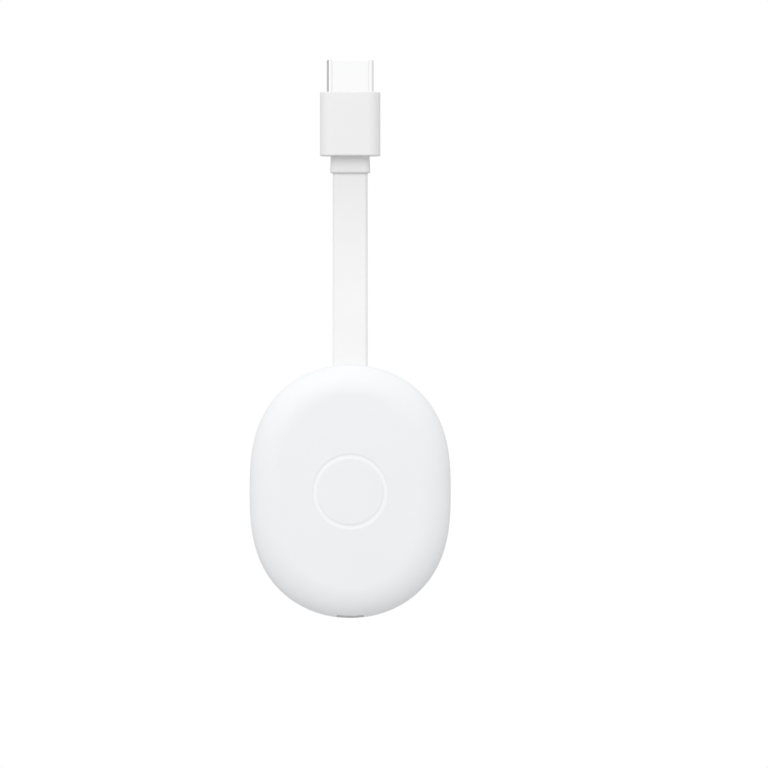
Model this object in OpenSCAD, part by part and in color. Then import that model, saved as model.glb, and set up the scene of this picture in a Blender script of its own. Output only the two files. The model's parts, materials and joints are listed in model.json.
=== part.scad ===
// Streaming media stick: an oval puck that hangs on a short flat cable from a video plug.
// The origin is the middle of the plug's shoulder, where it seats against a screen's socket.
// +Z points to the plug's tip, -Y is the front, and +X is to the right seen from the front.

/* [Puck] */
// Width of the puck
puck_w = 59.3; // [55:0.1:68]
// Height of the puck
puck_h = 74.8; // [70:0.1:88]
// Thickness of the puck
puck_t = 12.2; // [11.8:0.1:15]
// Squareness of the outline across, where 2 is an ellipse
outline_power_x = 2; // [1.9:0.05:2.45]
// Squareness of the outline from top to foot
outline_power_z = 2.7; // [2.45:0.05:2.8]
// Depth of the rounded edge, from the rim in to the flat face
edge_depth = 9; // [8:0.25:9.5]
// Thickness of the two covers
wall = 1.6; // [1.4:0.1:1.8]
// Height of the locating lip on the rear cover
lip_h = 1; // [0.8:0.1:1.2]
// Thickness of the locating lip
lip_t = 0.8; // [0.6:0.1:1]

/* [Front ring] */
// Outer diameter of the sunk ring
ring_d = 22; // [16:0.5:26]
// Width of the ring's floor
ring_w = 1.2; // [0.8:0.1:2]
// Depth of the ring
ring_deep = 0.3; // [0.2:0.05:0.5]

/* [Flat cable] */
// Width of the cable
cable_w = 10.3; // [9.6:0.1:11]
// Thickness of the cable
cable_t = 2.4; // [2:0.1:2.6]
// Radius of the cable's long edges
cable_r = 0.9; // [0.6:0.1:1]
// Length of the cable that is held inside the puck
cable_in_puck = 6.7; // [5:0.1:7]

/* [Plug shell] */
// Width of the metal shell
shell_w = 13.9; // [13.5:0.1:15]
// Thickness of the metal shell
shell_t = 4.45; // [4.3:0.05:5]
// Length of the shell above the shoulder
shell_len = 9.5; // [8:0.25:12]
// Width of the shell's narrow front side
shell_front_w = 10.8; // [10.6:0.1:12]
// Depth of the shell's wide rear part
shell_wide_t = 2.3; // [2.2:0.05:2.6]
// Depth of the slanted step between its two widths
shell_step_t = 0.8; // [0.6:0.05:0.9]
// Thickness of the sheet that the shell is folded from
shell_sheet = 0.3; // [0.2:0.05:0.35]

/* [Plug body] */
// Length of the plug body
body_h = 18.8; // [17:0.2:24]
// Wall of the outer moulding at the sides
body_wall_x = 1.2; // [1:0.1:2]
// Wall of the outer moulding at front and back
body_wall_y = 1.4; // [1:0.1:2]
// Radius of the body's upright edges
body_r = 3.7; // [2.5:0.1:4]
// Wall of the inner moulding at the sides
mould_wall_x = 0.7; // [0.6:0.1:1.2]
// Wall of the inner moulding at front and back
mould_wall_y = 1.425; // [1:0.025:2]
// Length of the neck under the body
neck_h = 5.1; // [4:0.1:7]
// Wall of the neck at the sides
neck_wall_x = 0.7; // [0.6:0.05:1.2]
// Wall of the neck at front and back
neck_wall_y = 0.8; // [0.6:0.05:1.2]

/* [Power port] */
// Width of the port's metal shell
port_w = 7.5; // [7:0.1:8]
// Thickness of the port's metal shell
port_t = 2.45; // [2.3:0.05:2.6]
// Length of the port
port_len = 5.5; // [5:0.1:6.5]
// Distance of the port's middle in front of the parting line
port_forward = 1; // [0.8:0.05:1.1]

/* [Reset button and light] */
// Diameter of the button
button_d = 5.2; // [4.4:0.1:5.6]
// Distance of the button to the right of the middle
button_x = 15.7; // [14:0.1:17]
// Travel of the button
button_travel = 0.3; // [0.2:0.05:0.4]
// Diameter of the status light
light_d = 0.9; // [0.7:0.1:1.2]
// Distance of the light to the left of the middle
light_x = 12.7; // [11:0.1:14]

/* [Board and screws] */
// Thickness of the circuit board
board_t = 0.8; // [0.6:0.1:1]
// Distance of the screws to each side
screw_x = 15; // [14:0.25:15.5]
// Distance of the screws above and below the middle
screw_z = 18; // [16:0.25:19]
// Diameter of the screw shanks
screw_d = 1.6; // [1.4:0.1:2]
// Height of the front shield can
can_h = 1.8; // [1.6:0.1:2]
// Thickness of the front heat plate
plate_t = 1; // [0.6:0.1:1.2]

/* [Hidden] */
$fn = 64;

// Facets of the moulded shapes: around the puck, across its edge, round a small corner, round the
// cable's edges, and across the plug's rim and foot
outline_steps = 72;
edge_steps = 8;
corner_steps = 6;
cable_steps = 2;
rim_steps = 3;
foot_steps = 4;
// Overrun of every cut past the face that it opens
over = 1;
// Gap between nested pieces of one moulding
fit = 0.05;

// The cable's route, top end first: the plug's inner moulding, the neck, the free stretch, the puck
cable_route = [[0, 0, -14], [0, 0, -19], [0, 0, -24], [0, 0, -28], [0, 0, -32], [0, 0, -37],
    [0, 0, -42], [0, 0, -47], [0, 0, -52], [0, 0, -57], [0, 0, -62], [0, 0, -67], [0, 0, -72],
    [0, 0, -77], [0, 0, -81], [0, 0, -84], [0, 0, -87]];
cable_top = cable_route[0].z;
cable_end = cable_route[len(cable_route) - 1].z;
// Gap around the cable where it passes through a slot
cable_gap = 0.08;

// Half sizes of the puck, and its middle below the plug's shoulder
half_w = puck_w / 2;
half_h = puck_h / 2;
half_t = puck_t / 2;
room_t = half_t - wall;
room_edge = edge_depth - wall;
puck_z = cable_end + cable_in_puck - half_h;

// Lip: gap to the front cover's wall, and how far its root runs into the rear cover
lip_gap = 0.3;
lip_root = 1.2;
lip_out = wall + lip_gap;
lip_in = lip_out + lip_t;

// Port, in the puck's frame
port_y = -port_forward;
port_gap = 0.2;
port_sheet = 0.3;
port_recess = 0.3;
port_side_t = 1.55;
port_chamfer = 0.85;
port_mouth_r = 0.3;
port_tip = -(skin_z(port_w / 2 + port_gap, port_y - port_t / 2) - port_recess);
port_end = port_tip + port_len;
tongue_w = 4.1;
tongue_t = 0.65;
tongue_forward = 0.3;
tongue_recess = 0.6;
port_block_len = 1.2;
port_contact_n = 5;
port_contact_pitch = 0.65;
port_contact_w = 0.35;
port_contact_t = 0.12;
port_contact_back = 0.5;

// Board: its faces follow from the port that sits on it
board_front = port_y + port_t / 2;
board_back = board_front + board_t;
board_gap = 0.4;
board_inset = lip_in + board_gap;

// Reset button, along the wall's own direction at its place
button_gap = 0.12;
button_tilt = outline_tilt(button_x);
skirt_gap = 0.25;
skirt_w = 7;
skirt_t = 3;
skirt_h = 0.8;
skirt_z = wall + edge_in(skirt_t / 2, room_edge, room_t) + skirt_gap;
stem_w = 2.4;
stem_t = 1;
stem_len = 1.6;
stem_end = skirt_z + skirt_h + stem_len;
button_patch_t = button_d / 2 + over / 2;

// Side-pressed switch behind the button
switch_w = 4.4;
switch_t = 1.5;
switch_len = 2.6;
switch_sheet = 0.15;
switch_wall = 0.6;
press_gap = 0.05;
plunger_out = 0.7;
plunger_w = 1.8;
plunger_t = 0.7;
plunger_flange_w = 2.6;
plunger_flange_h = 0.3;
plunger_gap = 0.1;
spring_sheet = 0.1;
spring_bow = 0.35;
spring_w = 2.8;
spring_t = 0.8;
switch_pocket_w = 3.2;
switch_y = board_front - switch_t / 2;
switch_z = stem_end + press_gap + plunger_out;
flange_z = switch_z + switch_wall + plunger_gap;
spring_z = flange_z + plunger_flange_h + fit;
pocket_end = spring_z + spring_bow + spring_sheet + fit;

// Status light
light_y = 0.3;
pipe_gap = 0.04;
pipe_w = 2;
pipe_t = 1.3;
pipe_back = 0.5;
led_w = 1.6;
led_h = 0.9;
led_t = 0.6;
led_gap = 0.1;
pipe_wall_gap = 0.15;
pipe_head = -room_z(light_x + pipe_w / 2, light_y + pipe_t / 2) + pipe_wall_gap;
pipe_end = -board_z(light_x - pipe_w / 2) - pipe_wall_gap;
led_z = -board_z(light_x + led_w / 2) + led_gap + led_h / 2;

// Cable anchor at the top of the puck
anchor_wall_x = 2.85;
anchor_wall_y = 1;
anchor_gap = 0.3;
anchor_h = 7;
anchor_w = cable_w + 2 * anchor_wall_x;
anchor_t = cable_t + 2 * anchor_wall_y;
anchor_top = room_z(anchor_w / 2, anchor_t / 2) - anchor_gap;
anchor_low = anchor_top - anchor_h;
cable_low = half_h - cable_in_puck;
anchor_rib_t = 1;
anchor_rib_x = 5;
board_top = anchor_low - board_gap;

// Wires from the cable's end to the board
wire_n = 19;
wire_d = 0.4;
wire_pitch = 0.5;
wire_on_board = 2.6;
wire_gap = 0.02;
wire_y = board_front - wire_d / 2 - wire_gap;
wire_room = 0.3;
clip_h = 1.2;
clip_t = 0.25;
clip_leg = 0.8;
clip_low = board_top - wire_on_board + clip_h / 2;

// Screws and bosses
screw_hole_gap = 0.3;
screw_fit = 0.05;
screw_head_r = 1.5;
screw_head_t = 0.9;
screw_slot_w = 0.4;
screw_slot_share = 0.6;
screw_slot_deep = 0.4;
boss_r = 1.9;
boss_floor = 0.4;
screw_end_gap = 0.3;

// Processor and memory chips on the board's front, and the shield can that goes round them
chip_gap = 1.7;
can_room = 1.7;
can_sheet = 0.2;
can_rim = 1;
cpu_w = 12;
cpu_t = 1;
memory_w = 7.5;
memory_l = 9.5;
memory_t = 0.9;
memory_gap = 1.2;
can_w = cpu_w + chip_gap + memory_w + 2 * (can_sheet + can_room);
can_l = 2 * memory_l + memory_gap + 2 * (can_sheet + can_room);
can_z = 4;
can_low = can_z - can_l / 2;
cpu_x = (cpu_w - can_w) / 2 + can_sheet + can_room;
memory_x = (can_w - memory_w) / 2 - can_sheet - can_room;

// Small parts in rows under the can: capacitors, then the wireless module and the power parts
cap_w = 1;
cap_l = 0.5;
cap_t = 0.5;
cap_n = 10;
cap_rows = 2;
cap_pitch = 2.4;
cap_row_pitch = 1.5;
cap_drop = 1.5;
row_gap = 1.7;
row_top = can_low - cap_drop - (cap_rows - 1) * cap_row_pitch - row_gap;
wireless_w = 9;
wireless_t = 1.4;
wireless_x = -7.7;
power_w = 4;
power_t = 0.8;
power_x = 0.4;
coil_n = 3;
coil_w = 3.2;
coil_t = 1.2;
coil_r = 0.5;
coil_x = 8.5;
coil_pitch = 3.7;
crystal_w = 3.2;
crystal_l = 2.5;
crystal_t = 0.8;
crystal_x = 1;
crystal_drop = 5.8;

// Flash chip on the board's back, with its own can
flash_w = 11.5;
flash_l = 13;
flash_t = 1;
rear_can_room_w = 4.05;
rear_can_room_l = 3.3;
rear_can_w = flash_w + 2 * (can_sheet + rear_can_room_w);
rear_can_l = flash_l + 2 * (can_sheet + rear_can_room_l);
rear_can_h = 1.8;
rear_plate_t = 0.8;
rear_plate_l = 34;
rear_plate_r = 2;
plate_edge = 1;
pad_edge = 2.5;

// Antennas at mid-height, as far out as the front cover's wall lets them stand
antenna_w = 3.2;
antenna_l = 8;
antenna_h = 2.2;
antenna_sheet = 0.2;
antenna_foot = 1.4;
antenna_gap = 0.5;
antenna_x = room_x(antenna_l / 2, board_front - antenna_h) - antenna_w - antenna_gap;

// Plug: sections, contacts and wires
shell_r = 0.45;
shell_shoulder_r = 1.1;
shell_hollow_r = 0.1;
shell_root = 7;
shell_seam = 0.12;
mould_r = 1.2;
body_top_wall = 1.2;
body_end_wall = 1.5;
body_fillet = 0.8;
body_top_fillet = 0.35;
mould_w = shell_w + 2 * mould_wall_x;
mould_t = shell_t + 2 * mould_wall_y;
body_w = mould_w + 2 * (fit + body_wall_x);
body_t = mould_t + 2 * (fit + body_wall_y);
mould_top = -body_top_wall - fit;
mould_end = -body_h + body_end_wall + fit;
slot_w = 9.6;
slot_y = 0.2;
slot_t = 1.7;
slot_floor = 0.5;
insulator_recess = 0.7;
insulator_end = 7;
contact_n = 10;
contact_pitch = 1;
contact_w = 0.4;
contact_t = 0.2;
contact_bump = 0.25;
contact_bump_len = 1.6;
contact_recess = 1.6;
contact_tail = 1.4;
neck_flare = 0.35;
neck_fillet = 0.7;
neck_r = 1.8;
neck_w = cable_w + 2 * (cable_gap + neck_wall_x);
neck_t = cable_t + 2 * (cable_gap + neck_wall_y);

// Outline of the puck at half sizes a and b, each raised to the power that squares it
function signed_power(v, p) = sign(v) * pow(abs(v), p);
function oval_point(a, b, turn) =
    [a * signed_power(cos(turn), 2 / outline_power_x),
     b * signed_power(sin(turn), 2 / outline_power_z)];
function oval(inset) =
    [for (i = [0 : outline_steps - 1])
        oval_point(half_w - inset, half_h - inset, 360 * i / outline_steps)];
function oval_z(a, b, x) = b * pow(1 - pow(abs(x) / a, outline_power_x), 1 / outline_power_z);
function oval_x(a, b, z) = a * pow(1 - pow(abs(z) / b, outline_power_z), 1 / outline_power_x);
function board_z(x) = oval_z(half_w - board_inset, half_h - board_inset, x);

// How far an edge with this depth and half height has drawn in at y
function edge_in(y, depth, height) = depth * (1 - sqrt(1 - pow(y / height, 2)));
function skin_z(x, y) =
    let (inset = edge_in(y, edge_depth, half_t)) oval_z(half_w - inset, half_h - inset, x);
function room_z(x, y) =
    let (inset = wall + edge_in(y, room_edge, room_t)) oval_z(half_w - inset, half_h - inset, x);
function room_x(z, y) =
    let (inset = wall + edge_in(y, room_edge, room_t)) oval_x(half_w - inset, half_h - inset, z);

// Angle between the outline's normal and straight down, at x
function outline_tilt(x) =
    let (z = oval_z(half_w, half_h, x), px = outline_power_x, pz = outline_power_z)
    atan2(px * pow(x / half_w, px - 1) / half_w, pz * pow(z / half_h, pz - 1) / half_h);

// Rectangle with round corners, as points that run anticlockwise
function round_rect(w, t, r, steps) =
    [for (q = [0 : 3]) for (i = [0 : steps])
        let (turn = 90 * (q + i / steps), sx = (q == 0 || q == 3) ? 1 : -1, sy = q < 2 ? 1 : -1)
        [sx * (w / 2 - r) + r * cos(turn), sy * (t / 2 - r) + r * sin(turn)]];
function raise(points, z) = [for (p = points) [p.x, p.y, z]];

// Rounds each corner of an outline, convex or hollow, with its own radius
function unit(v) = v / norm(v);
function wrap(turn) = turn > 180 ? turn - 360 : turn < -180 ? turn + 360 : turn;
function rounded(points, radii, steps) =
    let (n = len(points))
    [for (i = [0 : n - 1])
        let (p = points[i], u = unit(points[(i + n - 1) % n] - p), v = unit(points[(i + 1) % n] - p),
            half = acos(u * v) / 2, r = radii[i], middle = p + unit(u + v) * r / sin(half),
            from = p + u * r / tan(half) - middle, to = p + v * r / tan(half) - middle,
            start = atan2(from.y, from.x), sweep = wrap(atan2(to.y, to.x) - start))
        for (k = [0 : steps])
            let (turn = start + sweep * k / steps) middle + r * [cos(turn), sin(turn)]];

// The plug's section, drawn in all round by inset: wide at the back, narrow at the front
function plug_section(inset) =
    let (w = shell_w / 2, f = shell_front_w / 2, back = shell_t / 2, step = back - shell_wide_t,
        low = step - shell_step_t, slope = atan2(w - f, shell_step_t), shift = tan(slope / 2) * inset,
        r = max(shell_r - inset, fit), s = max(shell_shoulder_r - inset, fit),
        h = shell_hollow_r + inset)
    rounded([[w - inset, back - inset], [inset - w, back - inset], [inset - w, step + shift],
        [inset - f, low + shift], [inset - f, inset - back], [f - inset, inset - back],
        [f - inset, low + shift], [w - inset, step + shift]],
        [r, r, s, h, r, r, h, s], corner_steps / 2);

// A closed solid through rings of points, nearest ring first
module skin(rings) {
    n = len(rings[0]);
    last = len(rings) - 1;
    polyhedron(points = [for (ring = rings) each ring], faces = concat(
        [[for (i = [n - 1 : -1 : 0]) i]],
        [for (j = [0 : last - 1]) for (i = [0 : n - 1])
            let (a = j * n + i, b = j * n + (i + 1) % n) each [[a, b, b + n], [a, b + n, a + n]]],
        [[for (i = [0 : n - 1]) last * n + i]]));
}

// Half or all of a pebble: an oval that draws in along a quarter ellipse on each side of y = 0
module pebble(inset, from_y, to_y, steps) {
    height = half_t - inset;
    depth = edge_depth - inset;
    from_turn = asin(from_y / height);
    to_turn = asin(to_y / height);
    skin([for (j = [0 : steps])
        let (turn = from_turn + (to_turn - from_turn) * j / steps)
        [for (p = oval(inset + depth * (1 - cos(turn)))) [p.x, height * sin(turn), p.y]]]);
}

module span(x, y, z) {
    translate([x[0], y[0], z[0]]) cube([x[1] - x[0], y[1] - y[0], z[1] - z[0]]);
}

// A flat outline in x and z, as thick as from y0 to y1
module sheet_y(y0, y1) {
    translate([0, y1, 0]) rotate([90, 0, 0]) linear_extrude(height = y1 - y0) children();
}

module rod_y(x, z, r, y0, y1) {
    translate([x, y1, z]) rotate([90, 0, 0]) cylinder(r = r, h = y1 - y0);
}

// A prism with its section in x and y, from z0 up to z1
module post(points, z0, z1) {
    translate([0, 0, z0]) linear_extrude(height = z1 - z0) polygon(points);
}

// Passage for the flat cable
module cable_hole(z0, z1) {
    post(round_rect(cable_w + 2 * cable_gap, cable_t + 2 * cable_gap, cable_r + cable_gap, cable_steps),
        z0, z1);
}

module in_puck() {
    translate([0, 0, puck_z]) children();
}

// The button's own frame: its z runs straight in from the wall
module at_button() {
    translate([button_x, 0, -oval_z(half_w, half_h, button_x)])
        rotate([0, -button_tilt, 0]) children();
}

module at_screws() {
    for (x = [-screw_x, screw_x]) for (z = [-screw_z, screw_z]) translate([x, 0, z]) children();
}

module front_chip(x, z, w, l, t) {
    span([x - w / 2, x + w / 2], [board_front - t, board_front], [z - l / 2, z + l / 2]);
}

module rear_chip(x, z, w, l, t) {
    span([x - w / 2, x + w / 2], [board_back, board_back + t], [z - l / 2, z + l / 2]);
}

// Holes that go through both covers and the lip
module cover_cuts() {
    cable_hole(anchor_top, half_h + over);
    translate([0, port_y, 0])
        post(round_rect(port_w + 2 * port_gap, port_t + 2 * port_gap, port_mouth_r, cable_steps),
            -half_h - over, port_end);
    translate([-light_x, light_y, -half_h - over]) cylinder(d = light_d, h = half_h);
    span([-light_x - pipe_w / 2 - pipe_wall_gap, -light_x + pipe_w / 2 + pipe_wall_gap],
        [light_y - pipe_t / 2 - pipe_wall_gap, light_y + pipe_t / 2 + pipe_wall_gap],
        [pipe_head - pipe_wall_gap, pipe_end + over]);
    at_button() {
        translate([0, 0, -over]) cylinder(r = button_d / 2 + button_gap, h = over + skirt_z + skirt_h);
        span([-skirt_w / 2 - skirt_gap, skirt_w / 2 + skirt_gap],
            [-skirt_t / 2 - skirt_gap, skirt_t / 2 + skirt_gap], [skirt_z - skirt_gap, stem_end]);
    }
}

// Ribs that clamp the cable's anchor from one side, and a pair that holds it sideways
module anchor_ribs(clamp_y, side_y) {
    for (x = [-anchor_rib_x, 0, anchor_rib_x])
        span([x - anchor_rib_t / 2, x + anchor_rib_t / 2], clamp_y, [anchor_low, half_h]);
    for (side = [-1, 1]) for (x = [side * (anchor_w / 2 + fit + anchor_rib_t / 2)])
        span([x - anchor_rib_t / 2, x + anchor_rib_t / 2], side_y, [anchor_low, half_h]);
}

module front_cover() {
    color("white") in_puck() difference() {
        pebble(0, -half_t, 0, edge_steps);
        difference() {
            pebble(wall, -room_t, 0, edge_steps);
            anchor_ribs([-half_t, -anchor_t / 2], [-half_t, -lip_h - lip_gap]);
        }
        difference() {
            rod_y(0, 0, ring_d / 2, -half_t - over, -half_t + ring_deep);
            rod_y(0, 0, ring_d / 2 - ring_w, -half_t - 2 * over, -half_t + over);
        }
        cover_cuts();
        span([-half_w, half_w], [0, over], [-half_h - over, half_h + over]);
    }
}

module rear_cover() {
    color("white") in_puck() difference() {
        union() {
            difference() {
                pebble(0, 0, half_t, edge_steps);
                difference() {
                    pebble(wall, 0, room_t, edge_steps);
                    anchor_ribs([anchor_t / 2, half_t], [0, half_t]);
                    at_screws() rod_y(0, 0, boss_r, board_back, half_t);
                }
            }
            difference() {
                union() {
                    sheet_y(-lip_h, lip_root) polygon(oval(lip_out));
                    sheet_y(0, lip_root) polygon(oval(wall / 2));
                }
                sheet_y(-lip_h - over, lip_root + over) polygon(oval(lip_in));
            }
        }
        cover_cuts();
        at_screws() rod_y(0, 0, screw_d / 2 + screw_fit, board_back - over, room_t + boss_floor);
    }
}

module circuit_board() {
    color("darkgreen") in_puck() difference() {
        intersection() {
            sheet_y(board_front, board_back) polygon(oval(board_inset));
            span([-half_w, half_w], [board_front - over, board_back + over], [-half_h, board_top]);
        }
        at_screws() rod_y(0, 0, screw_d / 2 + screw_hole_gap, board_front - over, board_back + over);
        at_button()
            span([-skirt_w / 2 - skirt_gap, skirt_w / 2 + skirt_gap],
                [board_front - over, board_back + over],
                [-over, skirt_z + skirt_h + button_travel + skirt_gap]);
    }
}

module board_screws() {
    color("silver") in_puck() at_screws() difference() {
        union() {
            rod_y(0, 0, screw_head_r, board_front - screw_head_t, board_front);
            rod_y(0, 0, screw_d / 2, board_front, room_t + boss_floor - screw_end_gap);
        }
        for (turn = [0, 90]) rotate([0, turn, 0])
            span([-screw_head_r * screw_slot_share, screw_head_r * screw_slot_share],
                [board_front - screw_head_t - over, board_front - screw_head_t + screw_slot_deep],
                [-screw_slot_w / 2, screw_slot_w / 2]);
    }
}

module processor_chip() {
    color("dimgray") in_puck() front_chip(cpu_x, can_z, cpu_w, cpu_w, cpu_t);
}

module memory_chips() {
    color("dimgray") in_puck() for (side = [-1, 1])
        front_chip(memory_x, can_z + side * (memory_l + memory_gap) / 2, memory_w, memory_l, memory_t);
}

module flash_chip() {
    color("dimgray") in_puck() rear_chip(0, can_z, flash_w, flash_l, flash_t);
}

module wireless_module() {
    color("silver") in_puck()
        front_chip(wireless_x, row_top - wireless_w / 2, wireless_w, wireless_w, wireless_t);
}

module power_chip() {
    color("dimgray") in_puck() front_chip(power_x, row_top - power_w / 2, power_w, power_w, power_t);
}

module power_coils() {
    color("gray") in_puck() for (i = [0 : coil_n - 1])
        translate([coil_x + (i - (coil_n - 1) / 2) * coil_pitch, 0, row_top - coil_w / 2])
            sheet_y(board_front - coil_t, board_front)
                polygon(round_rect(coil_w, coil_w, coil_r, corner_steps / 2));
}

module small_capacitors() {
    color("tan") in_puck() for (row = [0 : cap_rows - 1]) for (i = [0 : cap_n - 1])
        front_chip((i - (cap_n - 1) / 2) * cap_pitch, can_low - cap_drop - row * cap_row_pitch,
            cap_w, cap_l, cap_t);
}

module clock_crystal() {
    color("silver") in_puck() front_chip(crystal_x, row_top - crystal_drop - crystal_l / 2,
        crystal_w, crystal_l, crystal_t);
}

// Four thin walls round a can, with a rim turned in at the top
module shield_frame() {
    top = board_front - can_h + can_sheet;
    color("silver") in_puck() difference() {
        front_chip(0, can_z, can_w, can_l, can_h - can_sheet);
        span([-can_w / 2 + can_sheet, can_w / 2 - can_sheet], [top + can_sheet, board_front + over],
            [can_z - can_l / 2 + can_sheet, can_z + can_l / 2 - can_sheet]);
        span([-can_w / 2 + can_rim, can_w / 2 - can_rim], [top - over, board_front + over],
            [can_z - can_l / 2 + can_rim, can_z + can_l / 2 - can_rim]);
    }
}

module shield_lid() {
    color("silver") in_puck() translate([0, can_sheet - can_h, 0])
        front_chip(0, can_z, can_w, can_l, can_sheet);
}

module chip_pad() {
    color("lightblue") in_puck() translate([0, -cpu_t, 0])
        front_chip(cpu_x, can_z, cpu_w, cpu_w, can_h - can_sheet - cpu_t);
}

module front_gap_pad() {
    color("lightblue") in_puck() translate([0, -can_h, 0])
        front_chip(0, can_z, can_w - 2 * pad_edge, can_l - 2 * pad_edge,
            room_t - plate_t + board_front - can_h);
}

module front_heat_plate() {
    color("lightgray") in_puck() intersection() {
        sheet_y(-room_t, plate_t - room_t) polygon(oval(edge_depth + plate_edge));
        span([-half_w, half_w], [-half_t, 0], [-half_h, board_top]);
    }
}

module rear_shield() {
    color("silver") in_puck() difference() {
        rear_chip(0, can_z, rear_can_w, rear_can_l, rear_can_h);
        translate([0, -can_sheet, 0]) rear_chip(0, can_z, rear_can_w - 2 * can_sheet,
            rear_can_l - 2 * can_sheet, rear_can_h);
    }
}

module rear_gap_pad() {
    color("lightblue") in_puck() translate([0, rear_can_h, 0])
        rear_chip(0, can_z, rear_can_w - 2 * pad_edge, rear_can_l - 2 * pad_edge,
            room_t - rear_plate_t - board_back - rear_can_h);
}

module rear_heat_plate() {
    plate_w = 2 * (screw_x - boss_r - board_gap);
    color("lightgray") in_puck() sheet_y(room_t - rear_plate_t, room_t)
        polygon(round_rect(plate_w, rear_plate_l, rear_plate_r, corner_steps));
}

// Section of the port, drawn in by inset: full width at the front, chamfered at the back
function port_section(inset) =
    let (w = port_w / 2 - inset, back = port_t / 2 - inset, side = port_side_t - port_t / 2,
        shift = inset * tan(atan2(port_chamfer, port_t - port_side_t) / 2))
    [[w, side - shift], [w - port_chamfer + shift, back], [port_chamfer - shift - w, back],
        [-w, side - shift], [-w, inset - port_t / 2], [w, inset - port_t / 2]];

module port_shell() {
    color("gray") in_puck() translate([0, port_y, 0]) difference() {
        post(port_section(0), port_tip, port_end);
        post(port_section(port_sheet), port_tip - over, port_end - port_sheet);
    }
}

module port_tongue() {
    y = -tongue_forward;
    color("black") in_puck() translate([0, port_y, 0]) union() {
        post(port_section(port_sheet), port_end - port_sheet - port_block_len, port_end - port_sheet);
        span([-tongue_w / 2, tongue_w / 2], [y - tongue_t / 2, y + tongue_t / 2],
            [port_tip + tongue_recess, port_end - port_sheet]);
    }
}

module port_contacts() {
    y = port_y - tongue_forward + tongue_t / 2;
    color("gold") in_puck() for (i = [0 : port_contact_n - 1])
        for (x = [(i - (port_contact_n - 1) / 2) * port_contact_pitch])
            span([x - port_contact_w / 2, x + port_contact_w / 2], [y, y + port_contact_t],
                [port_tip + tongue_recess + port_contact_back,
                    port_end - port_sheet - port_block_len]);
}

module reset_button() {
    color("white") in_puck() union() {
        intersection() {
            pebble(0, -button_patch_t, button_patch_t, edge_steps);
            at_button() translate([0, 0, -over]) cylinder(d = button_d, h = over + skirt_z + skirt_h / 2);
        }
        at_button() {
            span([-skirt_w / 2, skirt_w / 2], [-skirt_t / 2, skirt_t / 2], [skirt_z, skirt_z + skirt_h]);
            span([-stem_w / 2, stem_w / 2], [switch_y - stem_t / 2, switch_y + stem_t / 2],
                [skirt_z + skirt_h / 2, stem_end]);
        }
    }
}

module switch_body() {
    color("black") in_puck() at_button() difference() {
        span([-switch_w / 2, switch_w / 2], [board_front - switch_t, board_front],
            [switch_z, switch_z + switch_len]);
        span([-plunger_w / 2 - plunger_gap, plunger_w / 2 + plunger_gap],
            [switch_y - plunger_t / 2 - plunger_gap, switch_y + plunger_t / 2 + plunger_gap],
            [switch_z - over, pocket_end]);
        span([-switch_pocket_w / 2, switch_pocket_w / 2],
            [switch_y - spring_t / 2 - plunger_gap, switch_y + spring_t / 2 + plunger_gap],
            [switch_z + switch_wall, pocket_end]);
    }
}

module switch_plunger() {
    y = [switch_y - plunger_t / 2, switch_y + plunger_t / 2];
    color("white") in_puck() at_button() union() {
        span([-plunger_w / 2, plunger_w / 2], y, [switch_z - plunger_out, flange_z + plunger_flange_h]);
        span([-plunger_flange_w / 2, plunger_flange_w / 2], y, [flange_z, flange_z + plunger_flange_h]);
    }
}

// A bowed leaf whose crown faces the plunger
module switch_spring() {
    half = spring_w / 2;
    r = (half * half + spring_bow * spring_bow) / (2 * spring_bow);
    color("gold") in_puck() at_button()
        translate([0, switch_y + spring_t / 2, spring_z + r]) rotate([90, 0, 0]) difference() {
            cylinder(r = r, h = spring_t);
            translate([0, 0, -over]) cylinder(r = r - spring_sheet, h = spring_t + 2 * over);
            translate([-2 * r, spring_bow - r, -over]) cube([4 * r, 4 * r, spring_t + 2 * over]);
        }
}

module switch_cover() {
    x = switch_w / 2;
    y = board_front - switch_t;
    z = [switch_z, switch_z + switch_len];
    color("silver") in_puck() at_button() union() {
        span([-x - switch_sheet, x + switch_sheet], [y - switch_sheet, y], z);
        for (side = [[-x - switch_sheet, -x], [x, x + switch_sheet]])
            span(side, [y - switch_sheet, board_front], z);
    }
}

module status_led() {
    color("ivory") in_puck() front_chip(-light_x, led_z, led_w, led_h, led_t);
}

module light_pipe() {
    color("lightyellow") in_puck() translate([-light_x, light_y, 0]) union() {
        span([-pipe_w / 2, pipe_w / 2], [-pipe_t / 2, pipe_t / 2], [pipe_head, pipe_end]);
        translate([0, 0, -skin_z(light_x, light_y) + pipe_back])
            cylinder(r = light_d / 2 - pipe_gap, h = skin_z(light_x, light_y) - pipe_back + pipe_head
                + pipe_wall_gap);
    }
}

// A stamped strip: a foot on the board, a riser and an arm that stands off the board
module antenna(side) {
    x0 = side * antenna_x;
    x1 = x0 + side * antenna_w;
    low = board_front - antenna_h;
    color("goldenrod") in_puck() union() {
        span([min(x0, x1), max(x0, x1)], [low, low + antenna_sheet],
            [-antenna_l / 2, antenna_l / 2]);
        span([min(x0, x0 + side * antenna_sheet), max(x0, x0 + side * antenna_sheet)],
            [low, board_front], [-antenna_l / 2, 0]);
        span([min(x0, x0 + side * antenna_foot), max(x0, x0 + side * antenna_foot)],
            [board_front - antenna_sheet, board_front], [-antenna_l / 2, 0]);
    }
}

module antenna_left() {
    antenna(-1);
}

module antenna_right() {
    antenna(1);
}

module cable_anchor() {
    y = wire_d / 2 + wire_room;
    color("whitesmoke") in_puck() difference() {
        span([-anchor_w / 2, anchor_w / 2], [-anchor_t / 2, anchor_t / 2], [anchor_low, anchor_top]);
        cable_hole(cable_low - fit, anchor_top + over);
        span([-cable_w / 2, cable_w / 2], [wire_y - y, wire_y + y], [anchor_low - over, cable_low]);
    }
}

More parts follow.
